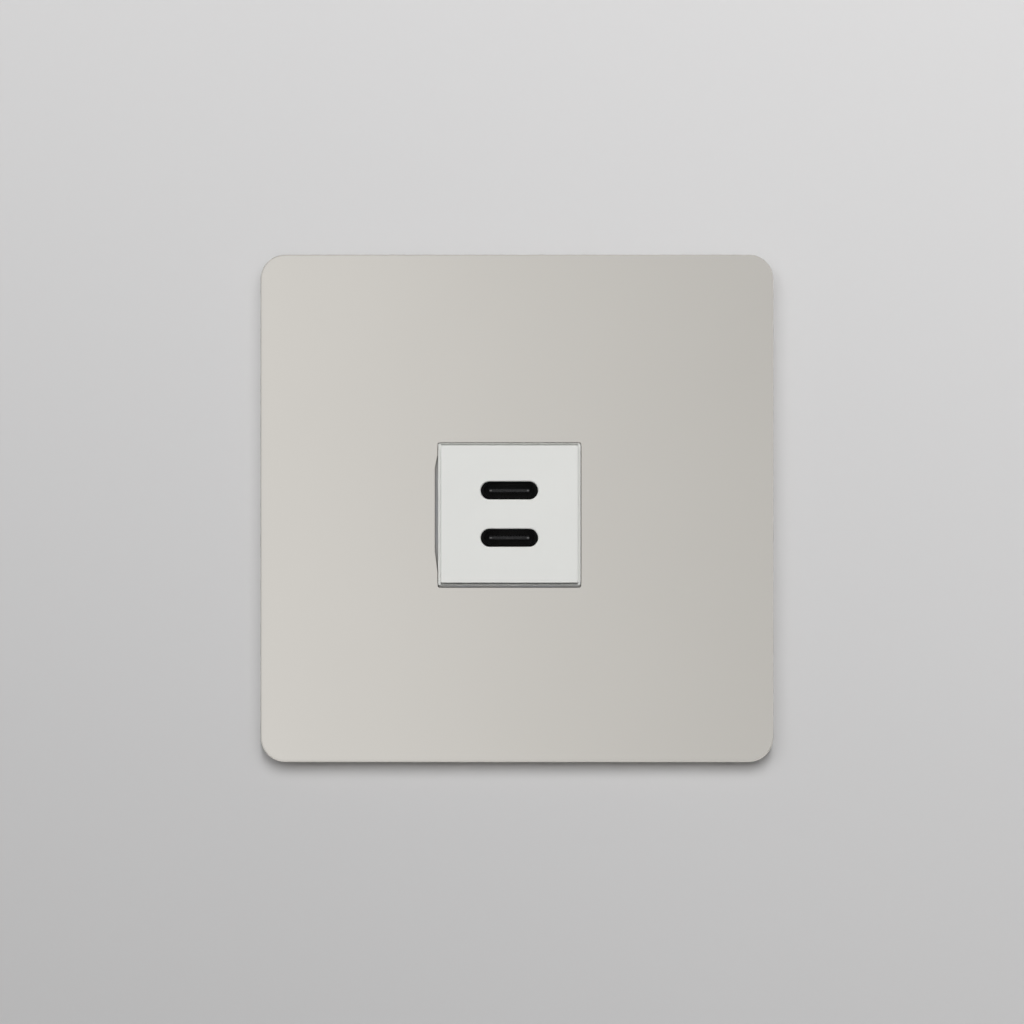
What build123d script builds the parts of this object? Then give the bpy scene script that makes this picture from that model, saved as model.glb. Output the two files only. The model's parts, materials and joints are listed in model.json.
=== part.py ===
from build123d import *
import os

# A single-gang wall plate with a two-port USB-C charging module.
# Millimetres. +X is right and +Z is up, seen from the front. The front faces -Y, the wall plane is
# y = 0, and +Y goes into the wall. The origin is midway between the two wall screws, on that plane.

# Front plate, a pressed brass sheet with its rim turned back to the wall
plate_width = 86.0
plate_height = 85.1
plate_depth = 4.0
plate_sheet = 1.2
plate_corner_r = 4.1
plate_edge_r = 0.25

# Module cap, set slightly left of and below the plate's centre
module_x = -1.28
module_z = -0.98
cap_size = 23.0
cap_proud = 0.6
cap_wall = 1.2
cap_corner_r = 0.3
cap_edge_r = 0.12
cap_shoulder_width = 0.45
cap_shoulder_drop = 1.0
cap_groove_width = 0.3
cap_groove_depth = 0.7
cap_flange_width = 1.5
cap_flange_thickness = 1.2

# Aperture in the plate, with a little play round the cap's shoulder and a shallow notch at the left
aperture_gap_left = 0.05
aperture_gap_right = 0.07
aperture_gap_top = 0.05
aperture_gap_bottom = 0.33
notch_depth = 0.45
notch_from_top = 2.0
notch_from_bottom = 2.6
notch_ramp_high = 2.3
notch_ramp_low = 3.5
aperture_edge_r = 0.12
aperture_corner_r = 0.4

# USB-C ports
port_pitch = 7.93
slot_width = 9.6
slot_height = 3.0
slot_edge_r = 0.25
boss_clear = 0.05
boss_recess = 0.3
mouth_width = 8.4
mouth_height = 2.62
shell_inner_width = 8.34
shell_inner_height = 2.56
shell_wall = 0.3
shell_length = 8.8
shell_leg_width = 0.8
tongue_width = 6.69
tongue_thickness = 0.7
tongue_set_back = 0.8
tongue_length = 4.5
tongue_edge = 0.12
tongue_clear = 0.02
latch_plate_thickness = 0.15
latch_plate_set_back = 0.25
latch_plate_root = 0.6
latch_ear_width = 0.4
latch_ear_thickness = 0.26
contact_count = 12
contact_pitch = 0.5
contact_width = 0.26
contact_depth = 0.1
contact_set_back = 0.3

# Port insert, a black cup behind the cap's face
insert_base = 1.2
insert_wall = 0.8
insert_clear = 0.15
insert_shell_clear = 0.1

# Mounting yoke and its screws
yoke_rim_gap = 1.0
yoke_thickness = 1.2
yoke_corner_r = 3.0
yoke_cutout_clear = 0.05
screw_spacing = 60.3
wall_slot_width = 3.9
wall_slot_length = 6.4
wall_screw_r = 1.75
wall_screw_neck_r = 1.55
wall_screw_length = 22.0
wall_screw_head_r = 3.3
wall_screw_head_height = 1.4
wall_screw_head_edge_r = 0.7
wall_screw_point = 0.9
wall_screw_cross_length = 3.3
driver_slot_width = 0.8
driver_slot_depth = 0.7

# Plate insert and magnets in the plate's pocket
plate_insert_clear = 0.2
magnet_r = 4.0
magnet_clear = 0.05
magnet_stand = 0.3
magnet_edge = 5.0
head_room = 0.7
cap_room = 1.25

# Earth terminal parts on the yoke
earth_housing_gap = 1.2
earth_foot_thickness = 1.0
earth_foot_width = 16.0
earth_foot_over = 1.0
earth_rivet_spacing = 11.6
earth_rivet_r = 1.2
earth_rivet_head_r = 2.0
earth_rivet_head_height = 0.5
earth_rivet_head_edge_r = 0.25
earth_cage_gap = 0.3
spring_thickness = 0.3
spring_foot_length = 4.0
spring_arm_width = 4.0
spring_ramp = 4.5
spring_crest = 1.0
spring_tail = 1.2
spring_tail_drop = 0.6
spring_plate_gap = 0.05
spring_window_clear = 1.0

# Rising cage terminals
cage_width = 5.6
cage_length = 5.0
cage_side = 0.8
cage_near_wall = 1.2
cage_far_wall = 1.0
cage_travel = 3.0
cage_end_clear = 0.2
bar_thickness = 1.0
bar_width = 3.4
bar_pin_width = 1.7
bar_clear = 0.2
bar_inset = 0.5
wire_gap = 3.1
terminal_screw_r = 1.45
terminal_thread_clear = 0.05
terminal_head_r = 2.75
terminal_head_height = 1.8
terminal_head_edge_r = 0.3
terminal_head_clear = 0.3
terminal_tip_gap = 0.1
terminal_spacing = 26.0
terminal_guide_clear = 0.4
wire_entry_r = 1.9
wire_entry_chamfer = 0.5
driver_hole_r = 2.3

# Housing
housing_wall = 1.5
housing_front = 2.2
housing_rear = 1.6
housing_corner_r = 2.0
housing_edge_r = 0.5
recess_clear = 0.2
window_ledge = 1.2
rib_thickness = 1.0
pillar_r = 2.6
pillar_inset = 1.3
parting_margin = 1.25
label_width = 20.0
label_height = 11.0
label_depth = 0.3
vent_count = 5
vent_width = 1.0
vent_length = 7.0
vent_pitch = 2.4

# Housing screws
module_screw_r = 1.15
module_screw_head_r = 2.2
module_screw_length = 7.4
module_boss_r = 2.8
module_boss_beyond_side = 1.4
module_boss_beyond_end = 4.2
screw_hole_clear = 0.05
countersink_clear = 0.05
cover_screw_r = 1.0
cover_screw_head_r = 2.0
cover_screw_head_height = 1.3
cover_screw_head_edge_r = 0.3
cover_screw_recess = 0.8
cover_screw_bite = 5.5
cover_screw_clear = 0.2

# Circuit boards
port_board_width = 32.0
port_board_height = 26.0
board_thickness = 1.2
board_clear = 0.4
board_peg_r = 0.8
board_post_r = 1.6
board_peg_rise = 0.5
board_peg_clear = 0.05
board_peg_inset = 2.5
rear_post_height = 1.0
sheet_thickness = 0.3
tall_part_clear = 1.1

# Parts on the power board
part_gap = 0.6
edge_gap = 0.5
choke_r = 4.3
choke_bore_r = 2.0
choke_thickness = 3.6
choke_winding_build = 0.5
choke_turns = 9
choke_turn_width = 0.9
core_width = 15.0
core_height = 11.6
core_depth = 6.0
core_leg = 2.0
core_centre_leg = 4.0
core_yoke = 2.0
bobbin_depth = 12.6
bobbin_wall = 0.5
bobbin_flange = 0.8
bobbin_foot = 0.4
bobbin_clear = 0.05
winding_build = 2.0
header_width = 1.8
header_height = 2.5
link_pin_count = 5
link_pin_pitch = 2.0
link_pin_width = 0.5
bulk_capacitor_r = 4.0
bulk_capacitor_height = 12.0
output_capacitor_r = 3.1
output_capacitor_height = 9.0
can_groove_depth = 0.25
can_groove_width = 0.7
can_groove_height = 1.6
can_edge_r = 0.4
rectifier_width = 5.0
rectifier_length = 4.0
rectifier_height = 2.4
chip_width = 4.0
chip_length = 5.0
chip_height = 1.6
transistor_width = 6.0
transistor_length = 6.2
transistor_height = 2.3
body_edge = 0.3
x_capacitor_width = 12.5
x_capacitor_depth = 6.0
x_capacitor_height = 10.5
varistor_r = 3.4
varistor_thickness = 3.0
fuse_r = 3.8
fuse_height = 7.6
y_capacitor_r = 3.2
y_capacitor_thickness = 3.2
disc_edge_r = 0.75
lead_width = 0.6
lead_spread = 3.0
inductor_r = 2.8
inductor_height = 6.0
inductor_neck = 0.6
inductor_flange = 1.0
bar_leg_margin = 0.8

# Levels along Y, from the front to the back
plate_front = -plate_depth
pocket_floor = plate_front + plate_sheet
yoke_front = -yoke_thickness
cap_front = plate_front - cap_proud
cap_shoulder = cap_front + cap_shoulder_drop
cap_inner = cap_front + cap_wall
boss_front = cap_front + boss_recess
insert_back = cap_inner + insert_base
port_board_front = cap_inner + shell_length
port_board_back = port_board_front + board_thickness
sheet_back = port_board_back + sheet_thickness
power_board_front = sheet_back + tall_part_clear + max(bulk_capacitor_height, core_height + bobbin_foot)
power_board_back = power_board_front + board_thickness
rear_inner = power_board_back + rear_post_height
rear_outer = rear_inner + housing_rear

# Levels of a rising cage terminal, counted from the underside of its screw head
near_wall_outer = -cage_travel - cage_end_clear
near_wall_inner = near_wall_outer - cage_near_wall
bar_near = near_wall_inner - bar_clear
bar_far = bar_near - bar_thickness
far_wall_inner = bar_far - wire_gap
far_wall_outer = far_wall_inner - cage_far_wall

mains_head = rear_inner - terminal_head_clear - terminal_head_height
mains_entry_y = mains_head + (bar_far + far_wall_inner) / 2
parting = mains_entry_y - wire_entry_r - parting_margin

# Columns across the power board, left to right, and the board's width
column_widths = [
    2 * choke_r,
    core_width,
    header_width,
    2 * bulk_capacitor_r,
    max(rectifier_width, chip_width, transistor_width),
]
columns_need = 2 * edge_gap + sum(column_widths) + part_gap * (len(column_widths) - 1)
top_row_widths = [
    2 * y_capacitor_r,
    2 * output_capacitor_r,
    2 * output_capacitor_r,
    2 * inductor_r,
]
bottom_row_widths = [x_capacitor_width, 2 * varistor_r, 2 * fuse_r]
top_row_need = sum(top_row_widths) + part_gap * (len(top_row_widths) + 1)
bottom_row_need = sum(bottom_row_widths) + part_gap * (len(bottom_row_widths) + 1)
top_row_ends = 3 * pillar_r + 2 * board_post_r + 2 * board_peg_r
bottom_row_ends = 2 * board_peg_inset + 2 * board_peg_r
board_width = max(columns_need, top_row_need + top_row_ends, bottom_row_need + bottom_row_ends)

# Rows up the power board, bottom to top, and the board's height
leg_row = bar_leg_margin + bar_thickness + part_gap
bottom_row = max(2 * fuse_r, 2 * varistor_thickness, x_capacitor_depth)
small_part_stack = rectifier_length + chip_length + transistor_length + 2 * part_gap
middle_row = max(4 * bulk_capacitor_r + part_gap, small_part_stack, bobbin_depth, 2 * choke_r)
top_row = max(2 * output_capacitor_r, y_capacitor_thickness, 2 * inductor_r)
board_height = leg_row + bottom_row + middle_row + top_row + 2 * part_gap + edge_gap

# Housing outline, from the board and the terminals below it
terminal_room = terminal_guide_clear + cage_length + rib_thickness + 2 * terminal_guide_clear
inner_width = board_width + 2 * board_clear
inner_height = terminal_room + board_height + board_clear
housing_width = inner_width + 2 * housing_wall
housing_height = inner_height + 2 * housing_wall
inner_bottom = -inner_height / 2
board_bottom = inner_bottom + terminal_room
board_centre_z = board_bottom + board_height / 2
cage_low = inner_bottom + terminal_guide_clear
cage_high = cage_low + cage_length
cage_z = (cage_low + cage_high) / 2
leg_low = board_bottom + bar_leg_margin
leg_high = leg_low + bar_thickness
bottom_row_z = board_bottom + leg_row + bottom_row / 2
middle_row_low = board_bottom + leg_row + bottom_row + part_gap
middle_row_z = middle_row_low + middle_row / 2
top_row_z = middle_row_low + middle_row + part_gap + top_row / 2

# Screws and pegs of the housing, about the module's centre
pillar_x = inner_width / 2 - pillar_inset
pillar_z = inner_height / 2 - pillar_inset
module_screw_x = port_board_width / 2 + module_boss_beyond_side
module_screw_z = port_board_height / 2 + module_boss_beyond_end
board_peg_x = port_board_width / 2 - board_peg_inset
board_peg_z = port_board_height / 2 - board_peg_inset

# Cap outlines, from the front to the back
shoulder_size = cap_size + 2 * cap_shoulder_width
flange_size = shoulder_size + 2 * cap_flange_width

# Aperture outline, about the module's centre
aperture_left = -shoulder_size / 2 - aperture_gap_left
aperture_right = shoulder_size / 2 + aperture_gap_right
aperture_low = -shoulder_size / 2 - aperture_gap_bottom
aperture_high = shoulder_size / 2 + aperture_gap_top

# Yoke and magnets, which follow the plate's pocket
pocket_width = plate_width - 2 * plate_sheet
pocket_height = plate_height - 2 * plate_sheet
yoke_width = pocket_width - 2 * yoke_rim_gap
yoke_height = pocket_height - 2 * yoke_rim_gap
magnet_x = yoke_width / 2 - magnet_edge - magnet_r
magnet_z = yoke_height / 2 - magnet_edge - magnet_r

# Earth terminal, above the housing
earth_low = module_z + housing_height / 2 + earth_housing_gap
earth_upright_high = earth_low + earth_foot_thickness
earth_cage_low = earth_upright_high + 2 * earth_cage_gap
earth_cage_high = earth_cage_low + cage_length
earth_z = (earth_cage_low + earth_cage_high) / 2
earth_head = earth_foot_thickness + earth_cage_gap - far_wall_outer
spring_foot_low = earth_z - spring_foot_length / 2
spring_foot_high = earth_z + spring_foot_length / 2
spring_ramp_end = spring_foot_low - spring_ramp
spring_crest_end = spring_ramp_end - spring_crest
spring_tail_end = spring_crest_end - spring_tail

port_zs = {"upper": port_pitch / 2, "lower": -port_pitch / 2}
corners = [(sx, sz) for sx in (-1, 1) for sz in (-1, 1)]

parts = {}


def block(x0, x1, y0, y1, z0, z1):
    """A box between two opposite corners."""
    return Pos((x0 + x1) / 2, (y0 + y1) / 2, (z0 + z1) / 2) * Box(x1 - x0, y1 - y0, z1 - z0)


def prism(sketch, y0, y1):
    """A flat outline, drawn in X and Z, given depth from y0 to y1."""
    return extrude(Plane.XZ.offset(-y1) * sketch, amount=y1 - y0)


def rod(x, z, r, y0, y1):
    """A round bar along Y."""
    return prism(Pos(x, z) * Circle(r), y0, y1)


def cone(x, z, r0, y0, r1, y1):
    """A cone frustum along Y, with radius r0 at y0 and r1 at y1."""
    frustum = Cone(r0, r1, y1 - y0, align=(Align.CENTER, Align.CENTER, Align.MIN))
    return Pos(x, y0, z) * Rot(-90, 0, 0) * frustum


def rounded(x, z, width, height, r):
    """A rectangle with round corners, centred at x, z."""
    return Pos(x, z) * RectangleRounded(width, height, r)


def stadium(x, z, width, height):
    """A slot outline with full round ends, lying along X."""
    return Pos(x, z) * SlotOverall(width, height)


def front_edges(shape):
    """The edges of the face that looks furthest forward."""
    return shape.faces().sort_by(Axis.Y)[0].edges()


def in_module(shape):
    """Moves a shape drawn about the module's own centre to the module's place."""
    return Pos(module_x, 0, module_z) * shape


def solids_of(shapes):
    """Several separate solids as one group."""
    return Compound([s for shape in shapes for s in shape.solids()])


# Cover: front plate, insert and magnets

def aperture_outline():
    """The aperture, a rounded square with a shallow prying notch along its left side."""
    square = rounded(
        (aperture_left + aperture_right) / 2,
        (aperture_low + aperture_high) / 2,
        aperture_right - aperture_left,
        aperture_high - aperture_low,
        aperture_corner_r,
    )
    low = aperture_low + notch_from_bottom
    high = aperture_high - notch_from_top
    inner = aperture_left + notch_depth
    outer = aperture_left - notch_depth
    notch = Polyline(
        (inner, low),
        (inner, high),
        (aperture_left, high),
        (outer, high - notch_ramp_high),
        (outer, low + notch_ramp_low),
        (aperture_left, low),
        close=True,
    )
    return square + make_face(notch)


def make_front_plate():
    plate = prism(rounded(0, 0, plate_width, plate_height, plate_corner_r), plate_front, 0)
    plate = fillet(front_edges(plate), plate_edge_r)
    pocket = rounded(0, 0, pocket_width, pocket_height, plate_corner_r - plate_sheet)
    plate -= prism(pocket, pocket_floor, 0)
    plate -= in_module(prism(aperture_outline(), plate_front, pocket_floor))
    face = plate.faces().sort_by(Axis.Y)[0]
    return fillet(face.inner_wires().edges(), aperture_edge_r)


def make_plate_insert():
    back = yoke_front - magnet_stand
    outline = rounded(
        0,
        0,
        pocket_width - 2 * plate_insert_clear,
        pocket_height - 2 * plate_insert_clear,
        plate_corner_r - plate_sheet - plate_insert_clear,
    )
    insert = prism(outline, pocket_floor, back)
    opening = shoulder_size + 2 * cap_room
    insert -= in_module(prism(rounded(0, 0, opening, opening, cap_room), pocket_floor, back))
    for sx, sz in corners:
        insert -= rod(sx * magnet_x, sz * magnet_z, magnet_r + magnet_clear, pocket_floor, back)
    for side in (-1, 1):
        head_hole_r = wall_screw_head_r + head_room
        insert -= rod(side * screw_spacing / 2, 0, head_hole_r, pocket_floor, back)
    window_low = spring_tail_end - spring_window_clear
    window_high = spring_foot_high + spring_window_clear
    half = earth_foot_width / 2 + spring_window_clear
    insert -= block(-half, half, pocket_floor, back, window_low, window_high)
    return insert


def make_magnet(sx, sz):
    return rod(sx * magnet_x, sz * magnet_z, magnet_r, pocket_floor, yoke_front)


# Mounting yoke, wall screws and earth parts

def make_yoke():
    yoke = prism(rounded(0, 0, yoke_width, yoke_height, yoke_corner_r), yoke_front, 0)
    cutout = shoulder_size + 2 * yoke_cutout_clear
    yoke -= in_module(prism(rounded(0, 0, cutout, cutout, aperture_corner_r), yoke_front, 0))
    for side in (-1, 1):
        slot = Pos(side * screw_spacing / 2, 0) * SlotOverall(wall_slot_length, wall_slot_width, 90)
        yoke -= prism(slot, yoke_front, 0)
    for sx, sz in corners:
        x = module_x + sx * module_screw_x
        z = module_z + sz * module_screw_z
        hole_r = module_screw_r + screw_hole_clear
        seat_r = module_screw_head_r + countersink_clear
        yoke -= rod(x, z, hole_r, yoke_front, 0)
        yoke -= cone(x, z, seat_r, yoke_front, hole_r, yoke_front + seat_r - hole_r)
    for side in (-1, 1):
        yoke -= rod(side * earth_rivet_spacing / 2, earth_z, earth_rivet_r, yoke_front, 0)
    return yoke


def make_wall_screw(side):
    x = side * screw_spacing / 2
    head_top = yoke_front - wall_screw_head_height
    head = rod(x, 0, wall_screw_head_r, head_top, yoke_front)
    head = fillet(front_edges(head), wall_screw_head_edge_r)
    half = driver_slot_width / 2
    reach = wall_screw_head_r
    cross = wall_screw_cross_length / 2
    slot_floor = head_top + driver_slot_depth
    head -= block(x - reach, x + reach, head_top, slot_floor, -half, half)
    head -= block(x - half, x + half, head_top, slot_floor, -cross, cross)
    neck = rod(x, 0, wall_screw_neck_r, yoke_front, 0)
    thread_end = wall_screw_length - wall_screw_point
    thread = rod(x, 0, wall_screw_r, 0, thread_end)
    tip_r = wall_screw_r - wall_screw_point
    tip = cone(x, 0, wall_screw_r, thread_end, tip_r, wall_screw_length)
    return head + neck + thread + tip


def make_earth_bracket():
    foot_half = earth_foot_width / 2
    foot_high = earth_cage_high + earth_foot_over
    bar_y0 = earth_head + bar_far
    bar_y1 = earth_head + bar_near
    bar_half = bar_width / 2
    bracket = block(-foot_half, foot_half, 0, earth_foot_thickness, earth_low, foot_high)
    bracket += block(-bar_half, bar_half, 0, bar_y1, earth_low, earth_upright_high)
    bracket += block(-bar_half, bar_half, bar_y0, bar_y1, earth_low, earth_cage_high - bar_inset)
    for side in (-1, 1):
        x = side * earth_rivet_spacing / 2
        bracket -= rod(x, earth_z, earth_rivet_r, 0, earth_foot_thickness)
    return bracket


def make_earth_spring():
    """A leaf that leans down from its foot and touches the plate's back at its crest."""
    foot_half = earth_foot_width / 2
    foot_front = yoke_front - spring_thickness
    spring = block(
        -foot_half, foot_half, foot_front, yoke_front, spring_foot_low, spring_foot_high
    )
    crest = pocket_floor + spring_plate_gap
    under = crest + spring_thickness
    tail = crest + spring_tail_drop
    root = spring_foot_low + spring_thickness
    arm = Polyline(
        (0, foot_front, root),
        (0, crest, spring_ramp_end),
        (0, crest, spring_crest_end),
        (0, tail, spring_tail_end),
        (0, tail + spring_thickness, spring_tail_end),
        (0, under, spring_crest_end),
        (0, under, spring_ramp_end),
        (0, yoke_front, root),
        close=True,
    )
    leaf = extrude(make_face(arm), amount=spring_arm_width, dir=(1, 0, 0))
    spring += Pos(-spring_arm_width / 2, 0, 0) * leaf
    for side in (-1, 1):
        spring -= rod(side * earth_rivet_spacing / 2, earth_z, earth_rivet_r, foot_front, yoke_front)
    return spring


def make_earth_rivets():
    front = yoke_front - spring_thickness
    rivets = []
    for side in (-1, 1):
        x = side * earth_rivet_spacing / 2
        head = rod(x, earth_z, earth_rivet_head_r, front - earth_rivet_head_height, front)
        head = fillet(front_edges(head), earth_rivet_head_edge_r)
        shank = rod(x, earth_z, earth_rivet_r, front, earth_foot_thickness)
        tail = cone(
            x,
            earth_z,
            earth_rivet_head_r,
            earth_foot_thickness,
            earth_rivet_r,
            earth_foot_thickness + earth_rivet_head_height,
        )
        rivets.append(head + shank + tail)
    return solids_of(rivets)


# Rising cage terminals: the screw turns in place and draws the cage up against the fixed bar

def make_cage(x, z_low, head):
    half = cage_width / 2
    z_high = z_low + cage_length
    cage = block(x - half, x + half, head + far_wall_outer, head + near_wall_outer, z_low, z_high)
    bore_half = half - cage_side
    cage -= block(
        x - bore_half, x + bore_half, head + far_wall_inner, head + near_wall_inner, z_low, z_high
    )
    z = (z_low + z_high) / 2
    hole_r = terminal_screw_r + terminal_thread_clear
    cage -= rod(x, z, hole_r, head + near_wall_inner, head + near_wall_outer)
    return cage


def make_terminal_screw(x, z, head):
    top = head + terminal_head_height
    cap = rod(x, z, terminal_head_r, head, top)
    cap = fillet(cap.faces().sort_by(Axis.Y)[-1].edges(), terminal_head_edge_r)
    slot_half = driver_slot_width / 2
    reach = terminal_head_r
    cap -= block(x - reach, x + reach, top - driver_slot_depth, top, z - slot_half, z + slot_half)
    return cap + rod(x, z, terminal_screw_r, head + bar_near + terminal_tip_gap, head)


def make_mains_bar(x):
    half = bar_width / 2
    pin_half = bar_pin_width / 2
    y0 = mains_head + bar_far
    y1 = mains_head + bar_near
    bar = block(x - half, x + half, y0, y1, cage_low + bar_inset, leg_high)
    bar += block(x - half, x + half, y0, power_board_front, leg_low, leg_high)
    bar += block(x - pin_half, x + pin_half, y0, power_board_back, leg_low, leg_high)
    return bar


# White cap and black port insert

def make_cap():
    """A square cap on a shoulder, with a fine groove along its top and bottom sides."""
    cap = prism(rounded(0, 0, cap_size, cap_size, cap_corner_r), cap_front, 0)
    cap = fillet(front_edges(cap), cap_edge_r)
    shoulder = rounded(0, 0, shoulder_size, shoulder_size, aperture_corner_r)
    cap += prism(shoulder, cap_shoulder, 0)
    half = cap_size / 2
    groove_floor = cap_shoulder + cap_groove_depth
    for z0, z1 in ((half, half + cap_groove_width), (-half - cap_groove_width, -half)):
        cap -= block(-half, half, cap_shoulder, groove_floor, z0, z1)
    flange = rounded(0, 0, flange_size, flange_size, cap_corner_r)
    cap += prism(flange, 0, cap_flange_thickness)
    bore = cap_size - 2 * cap_wall
    cap -= prism(rounded(0, 0, bore, bore, cap_corner_r), cap_inner, cap_flange_thickness)
    for z in port_zs.values():
        cap -= prism(stadium(0, z, slot_width, slot_height), cap_front, cap_inner)
    face = cap.faces().sort_by(Axis.Y)[0]
    return fillet(face.inner_wires().edges(), slot_edge_r)


def make_port_insert():
    size = cap_size - 2 * (cap_wall + insert_clear)
    insert = prism(rounded(0, 0, size, size, cap_corner_r), cap_inner, cap_flange_thickness)
    bore = size - 2 * insert_wall
    insert -= prism(rounded(0, 0, bore, bore, cap_corner_r), insert_back, cap_flange_thickness)
    shell_width = shell_inner_width + 2 * (shell_wall + insert_shell_clear)
    shell_height = shell_inner_height + 2 * (shell_wall + insert_shell_clear)
    for z in port_zs.values():
        boss = stadium(0, z, slot_width - 2 * boss_clear, slot_height - 2 * boss_clear)
        insert += prism(boss, boss_front, cap_inner)
        insert -= prism(stadium(0, z, mouth_width, mouth_height), boss_front, cap_inner)
        insert -= prism(stadium(0, z, shell_width, shell_height), cap_inner, insert_back)
    return insert


# USB-C receptacles

def make_port_shell(z):
    outer = stadium(0, z, shell_inner_width + 2 * shell_wall, shell_inner_height + 2 * shell_wall)
    inner = stadium(0, z, shell_inner_width, shell_inner_height)
    shell = prism(outer, cap_inner, port_board_front) - prism(inner, cap_inner, port_board_front)
    leg_out = shell_inner_width / 2 + shell_wall
    for side in (-1, 1):
        x0 = side * (leg_out - shell_wall)
        x1 = side * leg_out
        shell += block(
            min(x0, x1),
            max(x0, x1),
            port_board_front - shell_leg_width,
            port_board_back,
            z - shell_leg_width / 2,
            z + shell_leg_width / 2,
        )
    return shell


tongue_front = cap_inner + tongue_set_back
tongue_back = tongue_front + tongue_length
latch_front = tongue_front + latch_plate_set_back
latch_back = tongue_back + latch_plate_root


def contact_blocks(z):
    """The contact strips on both faces of one tongue, from near its tip to the circuit board."""
    strips = []
    first = -contact_pitch * (contact_count - 1) / 2
    for i in range(contact_count):
        x = first + i * contact_pitch
        for face in (-1, 1):
            z_out = z + face * tongue_thickness / 2
            z_in = z_out - face * contact_depth
            strips.append(
                block(
                    x - contact_width / 2,
                    x + contact_width / 2,
                    tongue_front + contact_set_back,
                    port_board_front,
                    min(z_in, z_out),
                    max(z_in, z_out),
                )
            )
    return strips


def make_latch_plate(z):
    """The steel plate inside a tongue, with an ear at each end that reaches the tongue's tip."""
    half = tongue_width / 2
    t = latch_plate_thickness / 2
    plate = block(-half, half, latch_front, latch_back, z - t, z + t)
    t = latch_ear_thickness / 2
    for x0, x1 in ((-half, latch_ear_width - half), (half - latch_ear_width, half)):
        plate += block(x0, x1, tongue_front, latch_back, z - t, z + t)
    return plate


def make_tongue(z):
    half = tongue_width / 2
    t = tongue_thickness / 2
    tongue = block(-half, half, tongue_front, tongue_back, z - t, z + t)
    tongue = chamfer(front_edges(tongue).filter_by(Axis.X), tongue_edge)
    base = stadium(
        0, z, shell_inner_width - 2 * tongue_clear, shell_inner_height - 2 * tongue_clear
    )
    tongue += prism(base, tongue_back, port_board_front)
    tongue -= make_latch_plate(z)
    for strip in contact_blocks(z):
        tongue -= strip
    return tongue


# Circuit boards

def make_port_board():
    half_x = port_board_width / 2
    half_z = port_board_height / 2
    board = block(-half_x, half_x, port_board_front, port_board_back, -half_z, half_z)
    for sx, sz in corners:
        hole_r = board_peg_r + board_peg_clear
        board -= rod(sx * board_peg_x, sz * board_peg_z, hole_r, port_board_front, port_board_back)
    leg_x = shell_inner_width / 2 + shell_wall / 2
    half_leg = shell_leg_width / 2
    for z in port_zs.values():
        for side in (-1, 1):
            x = side * leg_x
            board -= block(
                x - shell_wall / 2,
                x + shell_wall / 2,
                port_board_front,
                port_board_back,
                z - half_leg,
                z + half_leg,
            )
    for pin in link_pin_centres():
        board -= link_pin(pin, port_board_front, port_board_back)
    return board


def make_insulation_sheet():
    half_x = port_board_width / 2
    half_z = port_board_height / 2
    sheet = block(-half_x, half_x, port_board_back, sheet_back, -half_z, half_z)
    for sx, sz in corners:
        hole_r = board_peg_r + board_peg_clear
        sheet -= rod(sx * board_peg_x, sz * board_peg_z, hole_r, port_board_back, sheet_back)
    for pin in link_pin_centres():
        sheet -= link_pin(pin, port_board_back, sheet_back)
    return sheet


def column_x(index):
    """The centre of a column of the power board's layout."""
    left = -board_width / 2 + edge_gap
    return left + sum(column_widths[:index]) + part_gap * index + column_widths[index] / 2


def row_centres(widths):
    """The centres of parts that stand in one row, a gap apart, about the board's centre line."""
    left = -(sum(widths) + part_gap * (len(widths) - 1)) / 2
    return [left + sum(widths[:i]) + part_gap * i + widths[i] / 2 for i in range(len(widths))]


choke_x, core_x, header_x, bulk_x, small_x = [column_x(i) for i in range(len(column_widths))]
rear_pegs = [
    (board_width / 2 - board_peg_inset, bottom_row_z),
    (pillar_x - pillar_r - board_clear - board_post_r, top_row_z),
]


def make_power_board():
    board = block(
        -board_width / 2,
        board_width / 2,
        power_board_front,
        power_board_back,
        board_bottom,
        board_bottom + board_height,
    )
    for sx in (-1, 1):
        notch_r = pillar_r + board_clear
        board -= rod(sx * pillar_x, pillar_z, notch_r, power_board_front, power_board_back)
        for peg_x, peg_z in rear_pegs:
            hole_r = board_peg_r + board_peg_clear
            board -= rod(sx * peg_x, peg_z, hole_r, power_board_front, power_board_back)
        x = sx * terminal_spacing / 2
        pin_half = bar_pin_width / 2
        board -= block(
            x - pin_half, x + pin_half, power_board_front, power_board_back, leg_low, leg_high
        )
    for pin in link_pin_centres():
        board -= link_pin(pin, power_board_front, power_board_back)
    return board


def link_pin_centres():
    """Heights of the link header's pins."""
    first = middle_row_z - link_pin_pitch * (link_pin_count - 1) / 2
    return [first + i * link_pin_pitch for i in range(link_pin_count)]


def link_pin(z, y0, y1):
    half = link_pin_width / 2
    return block(header_x - half, header_x + half, y0, y1, z - half, z + half)


def make_link_header():
    half_z = link_pin_pitch * link_pin_count / 2
    front = power_board_front - header_height
    header = block(
        header_x - header_width / 2,
        header_x + header_width / 2,
        front,
        power_board_front,
        middle_row_z - half_z,
        middle_row_z + half_z,
    )
    for pin in link_pin_centres():
        header -= link_pin(pin, front, power_board_front)
    return header


def make_link_pins():
    return solids_of([link_pin(z, port_board_front, power_board_back) for z in link_pin_centres()])


# Parts on the power board, which stand forward from its front face

def make_transformer_core():
    base = power_board_front - bobbin_foot
    front = base - core_height
    half_x = core_width / 2
    half_z = core_depth / 2
    low = middle_row_z - half_z
    high = middle_row_z + half_z
    core = block(core_x - half_x, core_x + half_x, front, base, low, high)
    for side in (-1, 1):
        inner = core_x + side * core_centre_leg / 2
        outer = core_x + side * (half_x - core_leg)
        core -= block(
            min(inner, outer), max(inner, outer), front + core_yoke, base - core_yoke, low, high
        )
    return core


def core_window():
    """Front and back levels of the core's windows."""
    base = power_board_front - bobbin_foot
    return base - core_height + core_yoke, base - core_yoke


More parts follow.
